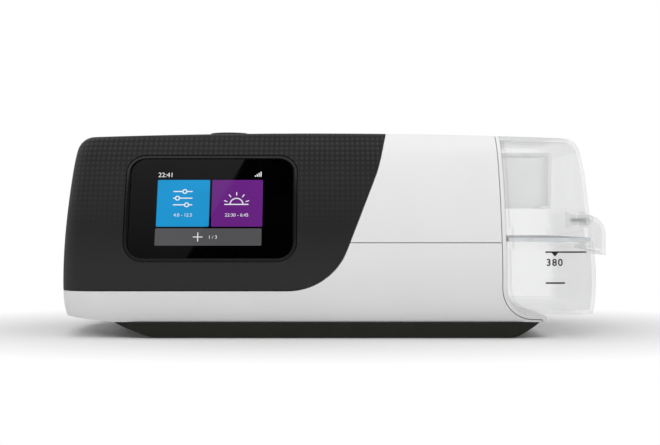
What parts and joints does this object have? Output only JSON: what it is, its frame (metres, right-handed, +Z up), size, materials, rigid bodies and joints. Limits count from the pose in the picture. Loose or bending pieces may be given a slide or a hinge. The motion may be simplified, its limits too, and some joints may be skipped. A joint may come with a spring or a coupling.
{
  "type": "cpap machine",
  "caption": "Bedside CPAP machine with a touch screen in a dark textured front, a start button on top and a clear humidifier tub that slides out at the right end.",
  "frame": {"origin": "on the table, under the middle of the machine's bounding box", "axes": "+X towards the water tub at the right end, +Y to the back with the hose connector, +Z up"},
  "size_m": [0.2552, 0.1386, 0.0945],
  "materials": {
    "fascia_plastic": "fine dot texture",
    "white_plastic": "satin",
    "base_plastic": "matte",
    "surround_plastic": "gloss",
    "screen_glass": "gloss",
    "display": "gloss",
    "clear_plastic": "clear",
    "button_plastic": "matte",
    "grey_plastic": "satin",
    "black_plastic": "matte",
    "board": "solder mask",
    "steel": "bright",
    "brass": "bright",
    "aluminium": "satin",
    "silicone": "matte",
    "foot_rubber": "matte",
    "filter_pad": "felt"
  },
  "bodies": {
    "machine": {"air_filter": "filter_pad", "base_screws": "steel", "base_skid": "base_plastic", "blower_boot": "silicone", "blower_cradle": "grey_plastic", "blower_motor": "steel", "blower_mounts": "silicone", "board_components": "black_plastic", "board_screws": "steel", "button_board": "board", "button_dome": "silicone", "card_door_pin": "steel", "card_slot": "grey_plastic", "display_board": "board", "filter_frame": "white_plastic", "filter_hinge_pin": "steel", "front_fascia": "fascia_plastic", "heater_carrier": "grey_plastic", "heater_springs": "steel", "inlet_muffler": "filter_pad", "lcd_module": "display", "lower_housing": "white_plastic", "lower_volute": "grey_plastic", "main_board": "board", "memory_card": "black_plastic", "outlet_elbow": "grey_plastic", "outlet_seal": "silicone", "port_seals": "silicone", "power_inlet": "black_plastic", "power_pins": "brass", "rear_cover": "white_plastic", "rubber_feet": "foot_rubber", "screen_glass": "screen_glass", "screen_surround": "surround_plastic", "tub_bay": "white_plastic", "upper_cover": "white_plastic", "upper_volute": "grey_plastic"},
    "button": {"start_button": "button_plastic"},
    "tub": {"tub_base": "clear_plastic", "tub_lid": "clear_plastic", "tub_seal": "silicone", "tub_heat_plate": "steel", "tub_hinge_pins": "steel", "tub_inlet_duct": "clear_plastic", "tub_outlet_duct": "clear_plastic", "latch_pin": "steel"},
    "latch": {"tub_latch": "clear_plastic"},
    "rotor": {"impeller": "grey_plastic", "motor_shaft": "steel"},
    "filter_door": {"filter_cover": "white_plastic"},
    "card_flap": {"card_door": "fascia_plastic"},
    "heater": {"heater_plate": "aluminium"}
  },
  "joints": [
    {"name": "start_button_press", "type": "slide", "parent": "machine", "child": "button", "axis": [0, 0, -1], "range_m": [0, 0.001], "stiffness_N_per_m": 300, "springref_m": -0.0005, "deforming": ["button_dome"]},
    {"name": "tub_slide", "type": "slide", "parent": "machine", "child": "tub", "axis": [1, 0, 0], "range_m": [0, 0.12]},
    {"name": "tub_latch_turn", "type": "hinge", "parent": "tub", "child": "latch", "pos_m": [0.11855, -0.004, 0.0526], "axis": [0, -1, 0], "range_deg": [0, 35]},
    {"name": "filter_cover_turn", "type": "hinge", "parent": "machine", "child": "filter_door", "pos_m": [-0.09105, 0.0599, 0.0271], "axis": [-1, 0, 0], "range_deg": [0, 85]},
    {"name": "card_door_turn", "type": "hinge", "parent": "machine", "child": "card_flap", "pos_m": [-0.12615, -0.004, 0.0341], "axis": [0, -1, 0], "range_deg": [0, 85]},
    {"name": "impeller_spin", "type": "hinge", "parent": "machine", "child": "rotor", "pos_m": [-0.07805, 0.005, 0.066], "axis": [0, 0, 1], "continuous": true},
    {"name": "heater_plate_press", "type": "slide", "parent": "machine", "child": "heater", "axis": [0, 0, -1], "range_m": [0, 0.001], "stiffness_N_per_m": 1500, "springref_m": -0.001, "deforming": ["heater_springs"]}
  ]
}
